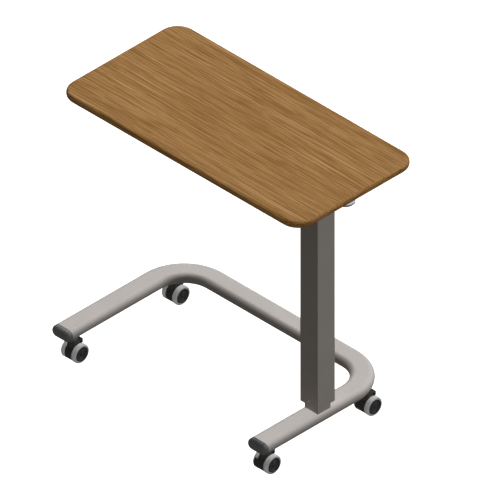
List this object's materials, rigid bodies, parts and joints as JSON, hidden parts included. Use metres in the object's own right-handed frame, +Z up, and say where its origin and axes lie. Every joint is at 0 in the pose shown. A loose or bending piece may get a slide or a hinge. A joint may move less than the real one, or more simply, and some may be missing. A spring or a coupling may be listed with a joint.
{
  "type": "overbed table",
  "caption": "Overbed table: a long oak-grain top cantilevered from a telescoping column on one leg of a U-shaped tube base with twin-wheel castors.",
  "frame": {"origin": "Middle of the footprint (the bounding box in plan) at floor level.", "axes": "+X runs along the long side of the tabletop towards the column, +Y towards the cross tube of the base, the base opens towards -Y, +Z is up."},
  "size_m": [0.8156, 0.4438, 0.7855],
  "materials": {
    "oak_top": "satin oak-grain laminate, grain along X",
    "base_paint": "satin warm light-grey powder coat",
    "column_paint": "satin warm light-grey powder coat, same as the base",
    "frame_paint": "fine textured warm grey powder coat",
    "cap_plastic": "moulded mid-dark grey plastic",
    "black_plastic": "moulded black plastic",
    "tread_rubber": "non-marking grey rubber",
    "lever_plastic": "smooth light grey plastic",
    "steel": "zinc-plated or bright steel"
  },
  "bodies": {
    "base": {"base_tube": "base_paint", "inner_column": "column_paint", "inner_column_glide": "black_plastic", "gas_spring_post": "steel", "gas_spring_cylinder": "black_plastic", "end_cap_left": "cap_plastic", "end_cap_right": "cap_plastic", "rear_socket_left": "black_plastic", "rear_socket_right": "black_plastic", "castor_stem_left_front": "steel", "castor_stem_left_rear": "steel", "castor_stem_right_front": "steel", "castor_stem_right_rear": "steel"},
    "lift": {"column_sleeve": "column_paint", "sleeve_glide": "black_plastic", "glide_screw": "steel", "head_plate": "frame_paint", "gas_spring_rod": "steel", "support_rail_front": "frame_paint", "support_rail_rear": "frame_paint", "cross_brace": "frame_paint", "tabletop": "oak_top", "top_screw_front_1": "steel", "top_screw_front_2": "steel", "top_screw_rear_1": "steel", "top_screw_rear_2": "steel", "lever_bracket": "frame_paint", "lever_pivot_pin": "steel"},
    "lever": {"release_lever": "steel", "lever_paddle": "lever_plastic"},
    "pin": {"release_pin": "steel"},
    "swivel_left_front": {"castor_body_left_front": "black_plastic", "castor_axle_left_front": "steel"},
    "pedal_left_front": {"brake_pedal_left_front": "black_plastic"},
    "wheel_left_front_inner": {"wheel_tyre_left_front_inner": "tread_rubber", "wheel_hub_left_front_inner": "black_plastic"},
    "wheel_left_front_outer": {"wheel_tyre_left_front_outer": "tread_rubber", "wheel_hub_left_front_outer": "black_plastic"},
    "swivel_left_rear": {"castor_body_left_rear": "black_plastic", "castor_axle_left_rear": "steel"},
    "pedal_left_rear": {"brake_pedal_left_rear": "black_plastic"},
    "wheel_left_rear_inner": {"wheel_tyre_left_rear_inner": "tread_rubber", "wheel_hub_left_rear_inner": "black_plastic"},
    "wheel_left_rear_outer": {"wheel_tyre_left_rear_outer": "tread_rubber", "wheel_hub_left_rear_outer": "black_plastic"},
    "swivel_right_front": {"castor_body_right_front": "black_plastic", "castor_axle_right_front": "steel"},
    "pedal_right_front": {"brake_pedal_right_front": "black_plastic"},
    "wheel_right_front_inner": {"wheel_tyre_right_front_inner": "tread_rubber", "wheel_hub_right_front_inner": "black_plastic"},
    "wheel_right_front_outer": {"wheel_tyre_right_front_outer": "tread_rubber", "wheel_hub_right_front_outer": "black_plastic"},
    "swivel_right_rear": {"castor_body_right_rear": "black_plastic", "castor_axle_right_rear": "steel"},
    "pedal_right_rear": {"brake_pedal_right_rear": "black_plastic"},
    "wheel_right_rear_inner": {"wheel_tyre_right_rear_inner": "tread_rubber", "wheel_hub_right_rear_inner": "black_plastic"},
    "wheel_right_rear_outer": {"wheel_tyre_right_rear_outer": "tread_rubber", "wheel_hub_right_rear_outer": "black_plastic"}
  },
  "joints": [
    {"name": "column_lift", "type": "slide", "parent": "base", "child": "lift", "axis": [0, 0, 1], "range_m": [0, 0.32]},
    {"name": "release_lever_hinge", "type": "hinge", "parent": "lift", "child": "lever", "pos_m": [0.30825, -0.0151, 0.754], "axis": [0, -1, 0], "range_deg": [0, 6], "stiffness_Nm_per_rad": 1.2, "springref_deg": -6.88},
    {"name": "release_pin_slide", "type": "slide", "parent": "lift", "child": "pin", "axis": [0, 0, 1], "range_m": [-0.0038, 0]},
    {"name": "castor_swivel_left_front", "type": "hinge", "parent": "base", "child": "swivel_left_front", "pos_m": [-0.37175, -0.1899, 0.055], "axis": [0, 0, 1], "continuous": true},
    {"name": "wheel_spin_left_front_inner", "type": "hinge", "parent": "swivel_left_front", "child": "wheel_left_front_inner", "pos_m": [-0.37175, -0.1769, 0.025], "axis": [1, 0, 0], "continuous": true},
    {"name": "wheel_spin_left_front_outer", "type": "hinge", "parent": "swivel_left_front", "child": "wheel_left_front_outer", "pos_m": [-0.37175, -0.1769, 0.025], "axis": [1, 0, 0], "continuous": true},
    {"name": "brake_pedal_left_front", "type": "hinge", "parent": "swivel_left_front", "child": "pedal_left_front", "pos_m": [-0.37175, -0.1684, 0.052], "axis": [-1, 0, 0], "range_deg": [0, 6]},
    {"name": "castor_swivel_left_rear", "type": "hinge", "parent": "base", "child": "swivel_left_rear", "pos_m": [-0.37175, 0.1451, 0.055], "axis": [0, 0, 1], "continuous": true},
    {"name": "wheel_spin_left_rear_inner", "type": "hinge", "parent": "swivel_left_rear", "child": "wheel_left_rear_inner", "pos_m": [-0.37175, 0.1581, 0.025], "axis": [1, 0, 0], "continuous": true},
    {"name": "wheel_spin_left_rear_outer", "type": "hinge", "parent": "swivel_left_rear", "child": "wheel_left_rear_outer", "pos_m": [-0.37175, 0.1581, 0.025], "axis": [1, 0, 0], "continuous": true},
    {"name": "brake_pedal_left_rear", "type": "hinge", "parent": "swivel_left_rear", "child": "pedal_left_rear", "pos_m": [-0.37175, 0.1666, 0.052], "axis": [-1, 0, 0], "range_deg": [0, 6]},
    {"name": "castor_swivel_right_front", "type": "hinge", "parent": "base", "child": "swivel_right_front", "pos_m": [0.26625, -0.1899, 0.055], "axis": [0, 0, 1], "continuous": true},
    {"name": "wheel_spin_right_front_inner", "type": "hinge", "parent": "swivel_right_front", "child": "wheel_right_front_inner", "pos_m": [0.26625, -0.1769, 0.025], "axis": [1, 0, 0], "continuous": true},
    {"name": "wheel_spin_right_front_outer", "type": "hinge", "parent": "swivel_right_front", "child": "wheel_right_front_outer", "pos_m": [0.26625, -0.1769, 0.025], "axis": [1, 0, 0], "continuous": true},
    {"name": "brake_pedal_right_front", "type": "hinge", "parent": "swivel_right_front", "child": "pedal_right_front", "pos_m": [0.26625, -0.1684, 0.052], "axis": [-1, 0, 0], "range_deg": [0, 6]},
    {"name": "castor_swivel_right_rear", "type": "hinge", "parent": "base", "child": "swivel_right_rear", "pos_m": [0.26625, 0.1451, 0.055], "axis": [0, 0, 1], "continuous": true},
    {"name": "wheel_spin_right_rear_inner", "type": "hinge", "parent": "swivel_right_rear", "child": "wheel_right_rear_inner", "pos_m": [0.26625, 0.1581, 0.025], "axis": [1, 0, 0], "continuous": true},
    {"name": "wheel_spin_right_rear_outer", "type": "hinge", "parent": "swivel_right_rear", "child": "wheel_right_rear_outer", "pos_m": [0.26625, 0.1581, 0.025], "axis": [1, 0, 0], "continuous": true},
    {"name": "brake_pedal_right_rear", "type": "hinge", "parent": "swivel_right_rear", "child": "pedal_right_rear", "pos_m": [0.26625, 0.1666, 0.052], "axis": [-1, 0, 0], "range_deg": [0, 6]}
  ],
  "couplings": [
    {"joint": "release_pin_slide", "follows": "release_lever_hinge", "m_per_rad": -0.036}
  ]
}
